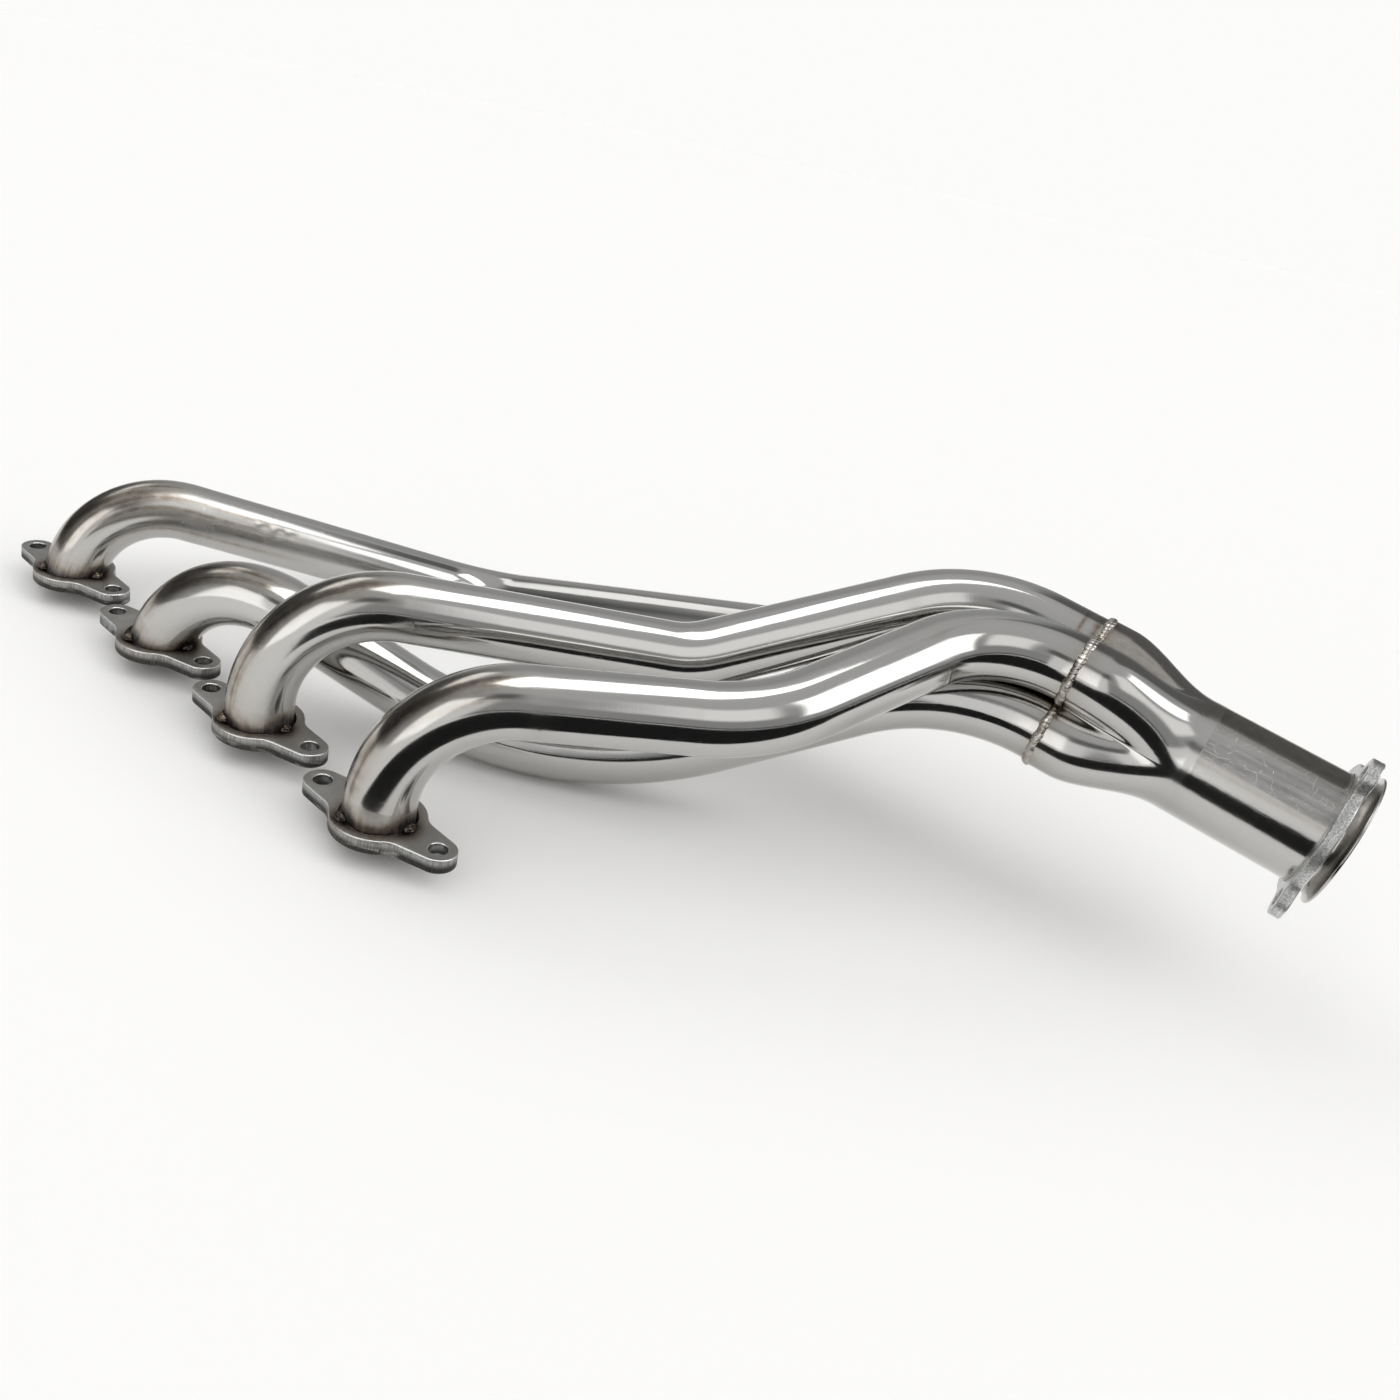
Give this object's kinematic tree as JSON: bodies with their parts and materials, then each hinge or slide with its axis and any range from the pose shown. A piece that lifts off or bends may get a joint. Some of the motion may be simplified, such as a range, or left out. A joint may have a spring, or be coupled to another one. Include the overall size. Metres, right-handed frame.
{
  "type": "exhaust manifold",
  "caption": "Tubular exhaust manifold: separate port flanges, long bent primary tubes, a merge collector and a loose outlet flange that swivels.",
  "frame": {"origin": "centre of the first port on the port face plane", "axes": "+X along the port row towards the outlet end, +Z out of the cylinder head, +Y from the ports towards the collector side"},
  "size_m": [0.7509, 0.4, 0.165],
  "materials": {
    "flange_plate": "laser-cut mill scale removed, matte",
    "seal_weld": "as welded",
    "tack_weld": "as welded, dark heat tint",
    "elbow_tube": "mirror polished, straw heat tint near the flange",
    "leg_tube": "mirror polished",
    "tail_tube": "mirror polished, faint tint at the collector",
    "tube_seam": "ground flush and polished",
    "mouth_bead": "rippled weld bead",
    "collector_shell": "polished",
    "merge_spike": "as formed",
    "neck_seam": "ground weld",
    "outlet_neck": "scuffed satin",
    "outlet_lip": "satin",
    "outlet_flange": "zinc-grey, cut edge"
  },
  "bodies": {
    "header": {"port_flange_1": "flange_plate", "port_seal_weld_1": "seal_weld", "port_tacks_1": "tack_weld", "primary_1_elbow": "elbow_tube", "primary_1_leg": "leg_tube", "primary_1_tail": "tail_tube", "primary_1_seam_a": "tube_seam", "primary_1_seam_b": "tube_seam", "mouth_bead_1": "mouth_bead", "port_flange_2": "flange_plate", "port_seal_weld_2": "seal_weld", "port_tacks_2": "tack_weld", "primary_2_elbow": "elbow_tube", "primary_2_leg": "leg_tube", "primary_2_tail": "tail_tube", "primary_2_seam_a": "tube_seam", "primary_2_seam_b": "tube_seam", "mouth_bead_2": "mouth_bead", "port_flange_3": "flange_plate", "port_seal_weld_3": "seal_weld", "port_tacks_3": "tack_weld", "primary_3_elbow": "elbow_tube", "primary_3_leg": "leg_tube", "primary_3_tail": "tail_tube", "primary_3_seam_a": "tube_seam", "primary_3_seam_b": "tube_seam", "mouth_bead_3": "mouth_bead", "port_flange_4": "flange_plate", "port_seal_weld_4": "seal_weld", "port_tacks_4": "tack_weld", "primary_4_elbow": "elbow_tube", "primary_4_leg": "leg_tube", "primary_4_tail": "tail_tube", "primary_4_seam_a": "tube_seam", "primary_4_seam_b": "tube_seam", "mouth_bead_4": "mouth_bead", "collector_shell": "collector_shell", "merge_spike": "merge_spike", "neck_seam": "neck_seam", "outlet_neck": "outlet_neck", "outlet_lip": "outlet_lip"},
    "loose_flange": {"collector_flange": "outlet_flange"}
  },
  "joints": [
    {"name": "collector_flange_swivel", "type": "hinge", "parent": "header", "child": "loose_flange", "pos_m": [0.68187, 0.32413, 0.08863], "axis": [0.972, 0.1854, -0.1444], "continuous": true}
  ]
}
